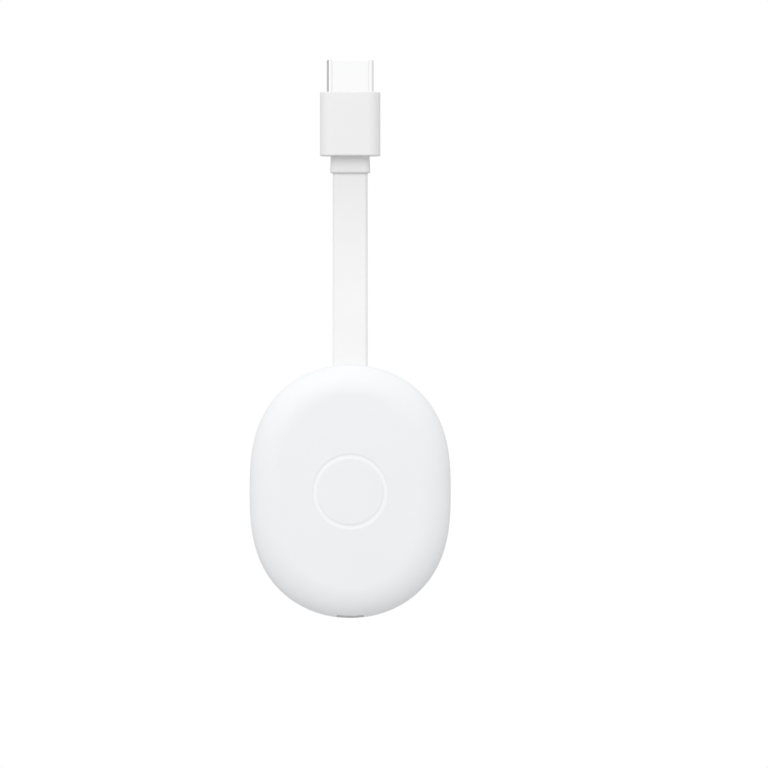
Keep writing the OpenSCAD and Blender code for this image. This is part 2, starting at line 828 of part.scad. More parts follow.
module cable_wires() {
    color("orange") in_puck() for (i = [0 : wire_n - 1])
        translate([(i - (wire_n - 1) / 2) * wire_pitch, wire_y, board_top - wire_on_board])
            cylinder(d = wire_d, h = cable_low - board_top + wire_on_board);
}

module wire_clip() {
    x = (wire_n - 1) * wire_pitch / 2 + wire_d + clip_leg;
    y = wire_y - wire_d / 2 - wire_gap;
    z = [clip_low, clip_low + clip_h];
    color("silver") in_puck() union() {
        span([-x, x], [y - clip_t, y], z);
        for (side = [[-x, clip_leg - x], [x - clip_leg, x]]) span(side, [y - clip_t, board_front], z);
    }
}

module flat_cable() {
    section = round_rect(cable_w, cable_t, cable_r, cable_steps);
    color("white") skin([for (place = cable_route)
        [for (p = section) place + [p.x, p.y, 0]]]);
}

module plug_neck() {
    top = -body_h;
    low = -body_h - neck_h;
    color("white") difference() {
        skin(concat(
            [for (k = [0 : 1]) raise(round_rect(neck_w - 2 * neck_flare * (1 - k), neck_t, neck_r,
                corner_steps), top - k * (neck_h - neck_fillet))],
            [for (k = [1 : foot_steps]) let (turn = 90 * k / foot_steps, inset = neck_fillet * (1 - cos(turn)))
                raise(round_rect(neck_w - 2 * inset, neck_t - 2 * inset, neck_r - inset, corner_steps),
                    low + neck_fillet * (1 - sin(turn)))]));
        cable_hole(low - over, top + over);
    }
}

// Rings of the plug body: a small round at the top rim, a larger one at the foot
function body_ring(inset, z) =
    raise(round_rect(body_w - 2 * inset, body_t - 2 * inset, body_r - inset, corner_steps), z);

module plug_body() {
    color("white") difference() {
        skin(concat(
            [for (k = [0 : rim_steps]) let (turn = 90 * k / rim_steps)
                body_ring(body_top_fillet * (1 - sin(turn)), body_top_fillet * (cos(turn) - 1))],
            [for (k = [0 : foot_steps]) let (turn = 90 * k / foot_steps)
                body_ring(body_fillet * (1 - cos(turn)), body_fillet * (1 - sin(turn)) - body_h)]));
        post(plug_section(-fit), -body_top_wall - over, over);
        post(round_rect(mould_w + 2 * fit, mould_t + 2 * fit, mould_r + fit, corner_steps),
            mould_end - fit, -body_top_wall);
        cable_hole(-body_h - over, mould_end);
    }
}

module plug_inner_mould() {
    color("gainsboro") difference() {
        post(round_rect(mould_w, mould_t, mould_r, corner_steps), mould_end, mould_top);
        post(plug_section(-fit), -shell_root - fit, mould_top + over);
        span([-cable_w / 2, cable_w / 2], [-cable_t / 2, cable_t / 2],
            [cable_top - fit, -shell_root]);
        cable_hole(mould_end - over, cable_top);
    }
}

// Folded sheet with a butt seam down the middle of its back
module plug_shell() {
    color("silver") difference() {
        post(plug_section(0), -shell_root, shell_len);
        post(plug_section(shell_sheet), -shell_root - over, shell_len + over);
        span([-shell_seam / 2, shell_seam / 2], [0, shell_t], [-shell_root - over, shell_len + over]);
    }
}

// Places of the contacts: ten along the wide side, nine between them along the narrow side
function contact_spots() = concat(
    [for (i = [0 : contact_n - 1]) [(i - (contact_n - 1) / 2) * contact_pitch, 1]],
    [for (i = [0 : contact_n - 2]) [(i - (contact_n - 2) / 2) * contact_pitch, -1]]);

module plug_insulator() {
    tip = shell_len - insulator_recess;
    color("black") difference() {
        post(plug_section(shell_sheet + fit), -insulator_end, tip);
        span([-slot_w / 2, slot_w / 2], [slot_y - slot_t / 2, slot_y + slot_t / 2],
            [slot_floor, tip + over]);
        for (spot = contact_spots())
            for (y = [slot_y + spot[1] * (slot_t / 2 - contact_t / 2)])
                span([spot.x - contact_w / 2 - fit, spot.x + contact_w / 2 + fit],
                    [y - contact_t / 2 - fit, y + contact_t / 2 + fit],
                    [-insulator_end - over, slot_floor + over]);
    }
}

// One contact: a strip along the slot's wall with a bump near its tip, and a straight tail
module plug_contacts() {
    tip = shell_len - contact_recess;
    low = -insulator_end - contact_tail;
    color("gold") for (spot = contact_spots())
        translate([spot.x + contact_w / 2, slot_y + spot[1] * slot_t / 2, 0]) rotate([0, -90, 0])
            linear_extrude(height = contact_w)
                polygon([for (p = [[low, 0], [tip, 0], [tip, contact_t],
                    [tip - contact_bump_len / 2, contact_t + contact_bump],
                    [tip - contact_bump_len, contact_t], [low, contact_t]])
                    [p.x, -spot[1] * p.y]]);
}

module plug_wires() {
    high = -insulator_end - contact_tail;
    color("orange") for (spot = contact_spots())
        translate([spot.x, slot_y + spot[1] * (slot_t / 2 - wire_d / 2), cable_top])
            cylinder(d = wire_d, h = high - cable_top);
}

front_cover();
rear_cover();
circuit_board();
board_screws();
processor_chip();
memory_chips();
flash_chip();
wireless_module();
power_chip();
power_coils();
small_capacitors();
clock_crystal();
shield_frame();
shield_lid();
chip_pad();
front_gap_pad();
front_heat_plate();
rear_shield();
rear_gap_pad();
rear_heat_plate();
port_shell();
port_tongue();
port_contacts();
reset_button();
switch_body();
switch_plunger();
switch_spring();
switch_cover();
status_led();
light_pipe();
antenna_left();
antenna_right();
cable_anchor();
cable_wires();
wire_clip();
flat_cable();
plug_neck();
plug_body();
plug_inner_mould();
plug_shell();
plug_insulator();
plug_contacts();
plug_wires();
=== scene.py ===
"""Looks of a streaming media stick: a white oval puck on a short flat cable under a video plug.

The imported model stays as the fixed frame. Every moulded form that shows is modelled here in
millimetres, in the frame's own axes, and is scaled to metres when it is finished. The origin is the
middle of the plug's shoulder, +Z points to the plug's tip and -Y is the front.
"""
import json
import math
from contextlib import contextmanager

import bmesh
import bpy
from mathutils import Matrix, Vector


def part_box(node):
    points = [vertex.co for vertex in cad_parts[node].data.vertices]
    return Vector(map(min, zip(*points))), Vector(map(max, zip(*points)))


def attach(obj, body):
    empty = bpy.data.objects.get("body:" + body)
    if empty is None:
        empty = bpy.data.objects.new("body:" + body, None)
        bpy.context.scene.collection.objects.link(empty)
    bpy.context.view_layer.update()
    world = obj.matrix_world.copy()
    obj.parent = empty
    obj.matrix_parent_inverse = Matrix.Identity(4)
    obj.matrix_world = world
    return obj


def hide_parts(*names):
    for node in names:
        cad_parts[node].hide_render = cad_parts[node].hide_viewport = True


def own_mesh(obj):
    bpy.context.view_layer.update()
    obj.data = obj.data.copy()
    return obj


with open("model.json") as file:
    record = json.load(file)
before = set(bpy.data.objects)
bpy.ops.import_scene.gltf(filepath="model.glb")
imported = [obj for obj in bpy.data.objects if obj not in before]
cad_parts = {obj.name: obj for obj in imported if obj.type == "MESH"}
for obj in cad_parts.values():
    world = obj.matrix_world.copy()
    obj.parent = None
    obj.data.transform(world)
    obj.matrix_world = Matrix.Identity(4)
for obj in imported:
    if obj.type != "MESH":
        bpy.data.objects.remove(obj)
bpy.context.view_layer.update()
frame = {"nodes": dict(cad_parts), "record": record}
scene = bpy.context.scene

MM = 0.001
BORDER = 0.06
ROUND_MID = 0.3

# Puck: half sizes, squareness of its outline across and up, rounded edge and wall
HALF_W, HALF_H, HALF_T = 29.65, 37.4, 6.1
SQUARE_X, SQUARE_Z = 2.0, 2.7
EDGE_DEPTH, WALL = 9.0, 1.6
ROOM_T, ROOM_EDGE = HALF_T - WALL, EDGE_DEPTH - WALL
PUCK_Z = -117.7
PARTING_ROUND, PARTING_GAP, PARTING_DEEP = 0.04, 0.03, 0.12
OVAL_STEPS, ROOM_STEPS = 192, 96
EDGE_STEPS, ROOM_EDGE_STEPS = 28, 12
FLAT_BORDER = 0.4

# Sunk ring in the middle of the front
RING_R, RING_W, RING_DEEP = 11.0, 1.2, 0.06
RING_ROUND = 0.05
RING_BORDER = 0.4
RING_CENTRE_R = 4.0
RING_FLOOR_FROM, RING_FLOOR_TO = 0.7 * RING_DEEP - HALF_T, 2 * RING_DEEP - HALF_T

# Lip, bosses and ribs inside the covers
LIP_OUT, LIP_IN, LIP_H, LIP_ROOT = 1.9, 2.7, 1.0, 1.2
LIP_GAP, LIP_CHAMFER = 0.3, 0.1
BOSS_X, BOSS_Z, BOSS_R, BOSS_FROM = 15.0, 18.0, 1.9, 1.025
BOSS_HOLE_R, BOSS_FLOOR, BOSS_HOLE_STEPS = 0.85, 0.4, 24
ANCHOR_W, ANCHOR_T, ANCHOR_H, ANCHOR_GAP = 16.0, 4.4, 7.0, 0.3
RIB_T, RIB_X, RIB_FIT = 1.0, 5.0, 0.05
OVER = 1.0

# Flat cable and its route, puck end first
CABLE_W, CABLE_T, CABLE_R, CABLE_GAP = 10.3, 2.4, 1.12, 0.08
ROUTE_Z = (-87, -84, -81, -77, -72, -67, -62, -57, -52, -47, -42, -37, -32, -28, -24, -19, -14)
CABLE_STEPS = 8
# Painted shade: between these heights the cable is painted darker towards the plug
PAINTED_SHADE_FROM, PAINTED_SHADE_TO = -60.0, -24.0

# Power port
PORT_Y, PORT_W, PORT_T, PORT_SIDE_T, PORT_CHAMFER = -1.0, 7.5, 2.45, 1.55, 0.85
PORT_SHEET, PORT_GAP, PORT_LEN = 0.3, 0.2, 5.5
PORT_MOUTH_R, PORT_ROUND, PORT_LIP = 0.3, 0.32, 0.07
PORT_STEPS = 5

# Reset button, in its own frame, and status light
BUTTON_X, BUTTON_R, BUTTON_GAP = 15.7, 2.6, 0.12
BUTTON_STEPS = 96
BUTTON_RIM, BUTTON_RIM_DROP = 0.12, 0.01
BUTTON_FACE = (0.8, 0.65, 0.5, 0.35, 0.2, 0.08)
SKIN_NEAR, SKIN_FAR, SKIN_HALVINGS = -1.0, 4.0, 40
SKIRT_W, SKIRT_T, SKIRT_H, SKIRT_GAP = 7.0, 3.0, 0.8, 0.25
STEM_W, STEM_T, STEM_LEN, STEM_Y = 2.4, 1.0, 1.6, -0.525
LEAF_W, LEAF_T, LEAF_BOW, LEAF_SHEET, LEAF_GAP = 2.8, 0.8, 0.35, 0.1, 1.8
LEAF_STEPS = 8
LIGHT_X, LIGHT_Y, LIGHT_R, LIGHT_HOLE_DEEP = -12.7, 0.3, 0.45, 5
PIPE_W, PIPE_T, PIPE_GAP, PIPE_WALL_GAP, PIPE_BACK = 2.0, 1.3, 0.04, 0.15, 0.5
PIN_DOME, PIN_STEPS = 0.15, 32
PIN_TURNS = (0, 20, 40, 60, 75, 86)

# Plug: body, neck and metal shell
BODY_W, BODY_T, BODY_H, BODY_R = 17.8, 10.2, 18.8, 3.7
BODY_TOP_ROUND, BODY_FOOT_ROUND = 0.35, 0.35
BODY_TOP_STEPS, FOOT_STEPS = 6, 8
BODY_TOP_WALL, BODY_END_WALL = 1.2, 1.5
MOULD_W, MOULD_T, MOULD_R, MOULD_STEPS = 15.4, 7.4, 1.25, 6
NECK_W, NECK_T, NECK_H, NECK_R = 11.86, 4.16, 5.1, 1.8
NECK_FLARE, NECK_ROUND = 0.2, 0.6
SHELL_W, SHELL_T, SHELL_LEN, SHELL_ROOT = 13.9, 4.45, 9.5, 7.0
SHELL_FRONT_W, SHELL_WIDE_T, SHELL_STEP_T = 10.8, 2.3, 0.8
SHELL_SHEET, SHELL_SEAM, SHELL_LIP = 0.3, 0.12, 0.1
SHELL_R, SHELL_SHOULDER_R, SHELL_HOLLOW_R = 0.12, 1.1, 0.03
SHELL_HOLE_END, SHELL_STEPS = -2.0, 8
FIT = 0.05
CORNER_STEPS = 12

# Camera and studio
CAMERA_PLACE = (0.00997, -1.888, -0.08605)
LENS, SENSOR_W, NEAREST, FURTHEST = 300, 36, 0.01, 20
FLOOR_Z, FLOOR_R, FLOOR_STEPS = -0.5, 4.0, 64
SKY, WHITE = (0.86, 0.86, 0.86), (1.0, 1.0, 1.0)


# Selection and edit mode

def rest_selection():
    """Leaves nothing selected, so that the next operator acts on its own piece alone."""
    if bpy.context.mode != "OBJECT":
        bpy.ops.object.mode_set(mode="OBJECT")
    bpy.ops.object.select_all(action="DESELECT")


def take(piece):
    rest_selection()
    piece.select_set(True)
    bpy.context.view_layer.objects.active = piece


@contextmanager
def editing(piece):
    take(piece)
    bpy.ops.object.mode_set(mode="EDIT")
    yield
    bpy.ops.object.mode_set(mode="OBJECT")


def settled(name):
    """Names the new primitive and puts its place into its mesh."""
    piece = bpy.context.object
    piece.name = piece.data.name = name
    bpy.ops.object.transform_apply(location=True, rotation=True, scale=True)
    return piece


def put_in_order(mesh, layer):
    """Orders a drawn form's points, edges and faces, so that they come alike on every run."""
    def place(part):
        ends = [point.index for point in part.verts]
        return min(ends) * len(mesh.verts) + max(ends)

    mesh.verts.sort(key=lambda point: point[layer])
    mesh.verts.index_update()
    mesh.edges.sort(key=place)
    mesh.faces.sort(key=place)


def drawn(name, rings):
    """A closed form: a disc laid on the first ring of points, then drawn out from ring to ring."""
    rest_selection()
    count = len(rings[0])
    bpy.ops.mesh.primitive_circle_add(vertices=count, radius=1, fill_type="NGON")
    piece = settled(name)
    order = piece.data.attributes.new("order", "INT", "POINT")
    for place, point in enumerate(piece.data.vertices):
        order.data[place].value = place
        point.co = rings[0][place]
    with editing(piece):
        bpy.ops.mesh.select_mode(type="FACE")
        bpy.ops.mesh.select_all(action="SELECT")
        for ring in rings[1:]:
            bpy.ops.mesh.extrude_region()
            mesh = bmesh.from_edit_mesh(piece.data)
            layer = mesh.verts.layers.int["order"]
            for point in mesh.verts:
                if point.select:
                    point[layer] += count
                    point.co = ring[point[layer] % count]
            bmesh.update_edit_mesh(piece.data)
        bpy.ops.mesh.select_all(action="SELECT")
        bpy.ops.mesh.normals_make_consistent(inside=False)
        mesh = bmesh.from_edit_mesh(piece.data)
        put_in_order(mesh, mesh.verts.layers.int["order"])
        bmesh.update_edit_mesh(piece.data)
    piece.data.attributes.remove(piece.data.attributes["order"])
    return piece


def block(name, x, y, z):
    """A box between pairs of limits along x, y and z."""
    rest_selection()
    low, high = Vector((x[0], y[0], z[0])), Vector((x[1], y[1], z[1]))
    bpy.ops.mesh.primitive_cube_add(size=1, location=(low + high) / 2, scale=high - low)
    return settled(name)


def rod(name, radius, start, end, steps=48):
    """A cylinder from one point to another."""
    rest_selection()
    start, end = Vector(start), Vector(end)
    turn = (end - start).to_track_quat("Z", "Y").to_euler()
    bpy.ops.mesh.primitive_cylinder_add(vertices=steps, radius=radius, depth=(end - start).length,
                                        location=(start + end) / 2, rotation=turn)
    return settled(name)


def joined(pieces):
    rest_selection()
    for piece in pieces:
        piece.select_set(True)
    bpy.context.view_layer.objects.active = pieces[0]
    bpy.ops.object.join()
    return pieces[0]


def combined(piece, others, operation):
    """Cuts the other forms out of the piece, or adds them to it, and clears them away."""
    tool = joined(others)
    carve = piece.modifiers.new("carve", "BOOLEAN")
    carve.operation, carve.solver, carve.object = operation, "EXACT", tool
    take(piece)
    bpy.ops.object.modifier_apply(modifier="carve")
    bpy.data.objects.remove(tool)
    return piece


def cut(piece, *tools):
    return combined(piece, list(tools), "DIFFERENCE")


def smooth(piece, degrees=32):
    take(piece)
    bpy.ops.object.shade_smooth_by_angle(angle=math.radians(degrees))


def finished(piece, finish, nodes, body="stick", slot=None):
    """Scales a piece to metres, smooths it, gives it its finish, hangs it on its body and hides the
    imported parts that it stands for.
    """
    piece.data.transform(Matrix.Scale(MM, 4))
    smooth(piece)
    piece.data.materials.clear()
    piece.data.materials.append(finish)
    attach(piece, body)
    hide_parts(*nodes)
    slot or finish.name
    return piece


# Outlines, each a ring of points

def signed_power(value, power):
    return math.copysign(abs(value) ** power, value)


def oval(inset, y, steps=OVAL_STEPS):
    """The puck's outline, drawn in by inset, at y."""
    ring = []
    for step in range(steps):
        turn = 2 * math.pi * step / steps
        across = signed_power(math.cos(turn), 2 / SQUARE_X)
        up = signed_power(math.sin(turn), 2 / SQUARE_Z)
        ring.append(Vector(((HALF_W - inset) * across, y, PUCK_Z + (HALF_H - inset) * up)))
    return ring


def disc(radius, y, steps=OVAL_STEPS):
    """A circle round the middle of the puck, its points in step with the oval's."""
    middle = Vector((0, y, PUCK_Z))
    return [middle + radius * (point - middle).normalized() for point in oval(0, y, steps)]


def quarter(depth, height, steps):
    """Insets and heights along a quarter ellipse, from the rim to the flat face."""
    for step in range(1, steps + 1):
        turn = math.pi / 2 * step / steps
        yield depth * (1 - math.cos(turn)), height * math.sin(turn)


def edge_in(y, depth, height):
    return depth * (1 - math.sqrt(1 - (y / height) ** 2))


def oval_z(inset, x):
    """Height of the outline, drawn in by inset, above the puck's middle at x."""
    return (HALF_H - inset) * (1 - (abs(x) / (HALF_W - inset)) ** SQUARE_X) ** (1 / SQUARE_Z)


def skin_z(x, y):
    return oval_z(edge_in(y, EDGE_DEPTH, HALF_T), x)


def room_z(x, y):
    return oval_z(WALL + edge_in(y, ROOM_EDGE, ROOM_T), x)


SKIRT_Z = WALL + edge_in(SKIRT_T / 2, ROOM_EDGE, ROOM_T) + SKIRT_GAP
ANCHOR_TOP = room_z(ANCHOR_W / 2, ANCHOR_T / 2) - ANCHOR_GAP
ANCHOR_LOW = ANCHOR_TOP - ANCHOR_H
PIPE_HEAD = PIPE_WALL_GAP - room_z(abs(LIGHT_X) + PIPE_W / 2, LIGHT_Y + PIPE_T / 2)
PORT_TIP = PORT_SHEET - skin_z(PORT_W / 2 + PORT_GAP, PORT_Y - PORT_T / 2)
PORT_END = PORT_TIP + PORT_LEN


def rounded(corners, radii, steps):
    """Rounds each corner of a flat outline, convex or hollow, with its own radius.

    A narrow border beside each round keeps the straight stretches flat in smooth shading.
    """
    ring = []
    for place, corner in enumerate(corners):
        before = (corners[place - 1] - corner).normalized()
        after = (corners[(place + 1) % len(corners)] - corner).normalized()
        half = before.angle(after) / 2
        middle = corner + (before + after).normalized() * radii[place] / math.sin(half)
        first = corner + before * radii[place] / math.tan(half) - middle
        last = corner + after * radii[place] / math.tan(half) - middle
        start = math.atan2(first.y, first.x)
        sweep = (math.atan2(last.y, last.x) - start + math.pi) % (2 * math.pi) - math.pi
        arc = [middle + radii[place] * Vector((math.cos(turn), math.sin(turn)))
               for turn in (start + sweep * step / steps for step in range(steps + 1))]
        ring += [arc[0] + BORDER * before, *arc, arc[-1] + BORDER * after]
    return ring


def raised(outline, z):
    return [Vector((p.x, p.y, z)) for p in outline]


def round_rect(w, t, r, z, steps=CORNER_STEPS):
    corners = [Vector((x * w / 2, y * t / 2)) for x, y in ((1, 1), (-1, 1), (-1, -1), (1, -1))]
    return raised(rounded(corners, [r] * 4, steps), z)


def rounding(radius, steps):
    """Insets and depths round an edge, from its flat face to its side, with a border on both."""
    yield radius + BORDER, 0
    for step in range(steps + 1):
        turn = math.pi / 2 * step / steps
        yield radius * (1 - math.sin(turn)), radius * (1 - math.cos(turn))
    yield 0, radius + BORDER


def shell_outline(inset, steps=SHELL_STEPS):
    """The plug's section, wide at the back and narrow at the front, from the seam round to it."""
    w, f, back = SHELL_W / 2, SHELL_FRONT_W / 2, SHELL_T / 2
    step_y = back - SHELL_WIDE_T
    low = step_y - SHELL_STEP_T
    shift = math.tan(math.atan2(w - f, SHELL_STEP_T) / 2) * inset
    r, shoulder = max(SHELL_R - inset, FIT), max(SHELL_SHOULDER_R - inset, FIT)
    hollow = SHELL_HOLLOW_R + inset
    corners = [Vector(p) for p in (
        (inset - w, back - inset), (inset - w, step_y + shift), (inset - f, low + shift),
        (inset - f, inset - back), (f - inset, inset - back), (f - inset, low + shift),
        (w - inset, step_y + shift), (w - inset, back - inset))]
    return rounded(corners, [r, shoulder, hollow, r, r, hollow, shoulder, r], steps)


def port_outline(inset, z, steps=PORT_STEPS):
    """The port's section: full width at the front, chamfered at the back."""
    w, front = PORT_W / 2 - inset, inset - PORT_T / 2
    side, back = PORT_SIDE_T - PORT_T / 2, PORT_T / 2 - inset
    shift = inset * math.tan(math.atan2(PORT_CHAMFER, PORT_T - PORT_SIDE_T) / 2)
    corners = [Vector(p) for p in (
        (w, side - shift), (w - PORT_CHAMFER + shift, back), (PORT_CHAMFER - shift - w, back),
        (-w, side - shift), (-w, front), (w, front))]
    r = PORT_ROUND - inset / 2
    return [Vector((p.x, p.y + PORT_Y, PUCK_Z + z)) for p in rounded(corners, [r] * 6, steps)]


def outline_turn(x):
    """How far the outline's underside is turned away from straight down at x."""
    z = oval_z(0, x)
    return math.atan2(SQUARE_X * (x / HALF_W) ** (SQUARE_X - 1) / HALF_W,
                      SQUARE_Z * (z / HALF_H) ** (SQUARE_Z - 1) / HALF_H)


BUTTON_PLACE = (Matrix.Translation((BUTTON_X, 0, PUCK_Z - oval_z(0, BUTTON_X)))
                @ Matrix.Rotation(-outline_turn(BUTTON_X), 4, "Y"))


def button_rise(across, y):
    """How far in from the button's middle the puck's skin lies, along the button's own axis."""
    near, far = SKIN_NEAR, SKIN_FAR
    for _ in range(SKIN_HALVINGS):
        middle = (near + far) / 2
        point = BUTTON_PLACE @ Vector((across, y, middle))
        inside = point.z - PUCK_Z > -skin_z(point.x, y)
        near, far = (near, middle) if inside else (middle, far)
    return (near + far) / 2


def button_ring(radius, depth=None, drop=0.0):
    """A ring on the button, at a depth or on the puck's skin."""
    ring = []
    for step in range(BUTTON_STEPS):
        turn = 2 * math.pi * step / BUTTON_STEPS
        across, y = radius * math.cos(turn), radius * math.sin(turn)
        ring.append(Vector((across, y, button_rise(across, y) + drop if depth is None else depth)))
    return ring


# Finishes, each read from Object coordinates

class Nodes:
    """A node tree in the making."""

    def __init__(self, tree):
        self.tree = tree

    def link(self, source, target):
        self.tree.links.new(source, target)

    def feed(self, socket, value):
        """Gives a socket a number, a colour or another node's output."""
        if isinstance(value, bpy.types.NodeSocket):
            self.link(value, socket)
        else:
            socket.default_value = (*value, 1) if isinstance(value, tuple) else value

    def set(self, node, values):
        for name, value in values.items():
            node.inputs[name].default_value = value

    def add(self, kind, values=(), links=(), out=0, **settings):
        """Adds a node with its settings, values and links, and returns one of its outputs."""
        node = self.tree.nodes.new(kind)
        for name, value in settings.items():
            setattr(node, name, value)
        self.set(node, dict(values))
        for name, source in dict(links).items():
            self.link(source, node.inputs[name])
        return node.outputs[out]

    def math(self, operation, a, b=0.0):
        node = self.tree.nodes.new("ShaderNodeMath")
        node.operation = operation
        for socket, value in zip(node.inputs, (a, b)):
            self.feed(socket, value)
        return node.outputs[0]

    def part(self, vector, axis):
        return self.add("ShaderNodeSeparateXYZ", links={"Vector": vector}, out=axis)

    def spread(self, source, low, high, from_low=0.3, from_high=0.7):
        return self.add("ShaderNodeMapRange", {"From Min": from_low, "From Max": from_high,
                                               "To Min": low, "To Max": high}, {"Value": source})

    def mixed(self, share, first, second):
        """A colour between two others, each a colour or an output."""
        node = self.tree.nodes.new("ShaderNodeMix")
        node.data_type = "RGBA"
        sockets = [s for s in node.inputs if s.type == "RGBA"]
        for socket, value in zip((node.inputs[0], *sockets), (share, first, second)):
            self.feed(socket, value)
        return next(s for s in node.outputs if s.type == "RGBA")


class Finish(Nodes):
    """A material in the making: its nodes and the coordinates that its patterns read, in mm."""

    def __init__(self, name, colour, rough, metal=0.0, specular=0.5):
        self.material = bpy.data.materials.new(name)
        self.material.use_nodes = True
        super().__init__(self.material.node_tree)
        self.shader = self.tree.nodes["Principled BSDF"]
        self.colour, self.rough = colour, rough
        self.set(self.shader, {"Base Color": (*colour, 1), "Roughness": rough, "Metallic": metal,
                               "Specular IOR Level": specular})
        place = self.add("ShaderNodeTexCoord", out="Object")
        self.mm = self.add("ShaderNodeMapping", {"Scale": (1 / MM, 1 / MM, 1 / MM)},
                           {"Vector": place})

    def stretched(self, scale, middle=(0, 0, 0)):
        """Coordinates that are stretched along an axis, round a middle in mm."""
        shift = tuple(-m * s for m, s in zip(middle, scale))
        return self.add("ShaderNodeMapping", {"Scale": scale, "Location": shift},
                        {"Vector": self.mm})

    def noise(self, size, detail=2.0, within=None, rough=0.5):
        """Noise whose features are about size mm across."""
        return self.add("ShaderNodeTexNoise", {"Scale": 1 / size, "Detail": detail,
                                               "Roughness": rough}, {"Vector": within or self.mm})

    def tinted(self, share, amount):
        """The colour, varied by an amount to each side."""
        low = tuple(c * (1 - amount) for c in self.colour)
        high = tuple(min(1.0, c * (1 + amount)) for c in self.colour)
        return self.mixed(share, low, high)

    def paint(self, colour):
        self.link(colour, self.shader.inputs["Base Color"])

    def gloss(self, share, amount):
        self.link(self.spread(share, self.rough - amount, self.rough + amount),
                  self.shader.inputs["Roughness"])

    def relief(self, height, deep, under=None):
        """A relief that is deep mm high, on top of another one if given."""
        links = {"Height": height}
        if under:
            links["Normal"] = under
        return self.add("ShaderNodeBump", {"Strength": 1.0, "Distance": deep * MM}, links)

    def carve(self, normal):
        self.link(normal, self.shader.inputs["Normal"])


def ring_floor_painted_sheen(f):
    """Where the sunk ring's floor is painted lighter, as a painted sheen: inside its rim and below
    the face.
    """
    across = f.add("ShaderNodeVectorMath", links={"Vector": f.stretched((1, 0, 1), (0, 0, PUCK_Z))},
                   out="Value", operation="LENGTH")
    y = f.part(f.mm, "Y")
    below = f.math("MULTIPLY", f.math("GREATER_THAN", y, RING_FLOOR_FROM),
                   f.math("LESS_THAN", y, RING_FLOOR_TO))
    return f.math("MULTIPLY", f.math("LESS_THAN", across, RING_R + BORDER), below)


def painted_shade_near_plug(f):
    """Painted shade on the cable: how near its plug end is, from 0 to 1, where it is painted
    darker.
    """
    return f.spread(f.part(f.mm, "Z"), 0, 1, PAINTED_SHADE_FROM, PAINTED_SHADE_TO)


def moulded(name, colour, rough, grain, deep, tint=0.012, sink=14.0, specular=0.5, painted_light=None):
    """Moulded plastic: a spark-eroded grain, a faint unevenness and a breath of colour change.

    An accent of painted light, a painted sheen or a painted shade, is a second colour and the
    function that says where it is painted.
    """
    f = Finish(name, colour, rough, specular=specular)
    broad = f.noise(sink, 2)
    fine = f.noise(grain, 3, rough=0.6)
    f.gloss(f.math("MULTIPLY", f.math("ADD", broad, fine), 0.5), 0.05)
    f.carve(f.relief(fine, deep, f.relief(broad, deep * 2)))
    face = f.tinted(broad, tint)
    if painted_light:
        second, where = painted_light
        face = f.mixed(where(f), face, second)
    f.paint(face)
    return f.material


def sheet_metal(name, colour, rough, along, grain=0.06, deep=0.0012, tint=0.05, spots=0.0,
                vary=0.07):
    """Sheet metal: rolling marks drawn out along one axis, and a soft cloudiness."""
    f = Finish(name, colour, rough, metal=1.0)
    lines = f.noise(grain, 3, f.stretched(tuple(0.04 if a == along else 1.0 for a in "xyz")), 0.6)
    cloud = f.noise(2.5, 3)
    both = f.math("MULTIPLY", f.math("ADD", lines, cloud), 0.5)
    f.gloss(both, vary)
    f.paint(f.tinted(f.noise(spots, 4) if spots else both, tint))
    f.carve(f.relief(lines, deep, f.relief(f.noise(5.0, 1), 0.004)))
    return f.material


def solder_mask(name, colour, rough):
    """Printed board: tracks that show through the green, and bare copper at the vias."""
    f = Finish(name, colour, rough, specular=0.6)
    cells = f.add("ShaderNodeTexVoronoi", {"Scale": 0.55, "Randomness": 0.8}, {"Vector": f.mm},
                  out="Color", feature="F1", distance="CHEBYCHEV")
    bands = f.add("ShaderNodeTexWave", {"Scale": 1.1, "Distortion": 0.0, "Detail": 0.0},
                  {"Vector": f.mixed(0.35, f.mm, cells)}, out="Fac",
                  wave_type="BANDS", bands_direction="Z")
    track = f.spread(bands, 0, 1, 0.55, 0.65)
    vias = f.add("ShaderNodeTexVoronoi", {"Scale": 0.8, "Randomness": 0.7}, {"Vector": f.mm})
    via = f.spread(vias, 1, 0, 0.16, 0.2)
    lit = tuple(min(1.0, c * 1.9) for c in colour)
    f.paint(f.mixed(via, f.mixed(track, colour, lit), (0.75, 0.55, 0.2)))
    f.gloss(f.noise(0.8, 3), 0.08)
    f.carve(f.relief(track, 0.02, f.relief(f.noise(0.3, 2), 0.002)))
    return f.material


def packed_chip(name, colour, rough):
    """Moulded chip: a fine matte grain with flow marks and a few paler filler specks."""
    f = Finish(name, colour, rough)
    grain, flow = f.noise(0.07, 3, rough=0.7), f.noise(1.8, 3, f.stretched((1, 1, 0.4)))
    f.paint(f.mixed(f.spread(grain, 0, 1, 0.35, 0.75), tuple(c * 0.7 for c in colour),
                    tuple(c * 1.7 for c in colour)))
    f.gloss(flow, 0.12)
    f.carve(f.relief(grain, 0.006))
    return f.material


def soft_pad(name, colour, rough):
    """Thermal pad: a dull soft face with pits and a dusting of filler."""
    f = Finish(name, colour, rough, specular=0.25)
    pits, dust = f.noise(0.4, 4, rough=0.7), f.noise(0.12, 2)
    f.paint(f.mixed(dust, tuple(c * 0.85 for c in colour), tuple(min(1, c * 1.2) for c in colour)))
    f.gloss(pits, 0.1)
    f.carve(f.relief(pits, 0.03))
    return f.material


def enamelled(name, colour, rough):
    """Enamel on copper: warm, streaked along the wire, with a thin clear coat."""
    f = Finish(name, colour, rough, metal=0.55)
    streaks = f.noise(0.12, 3, f.stretched((1, 1, 0.08)))
    f.shader.inputs["Coat Weight"].default_value = 0.5
    f.shader.inputs["Coat Roughness"].default_value = 0.12
    f.paint(f.tinted(streaks, 0.2))
    f.gloss(streaks, 0.08)
    f.carve(f.relief(streaks, 0.003))
    return f.material


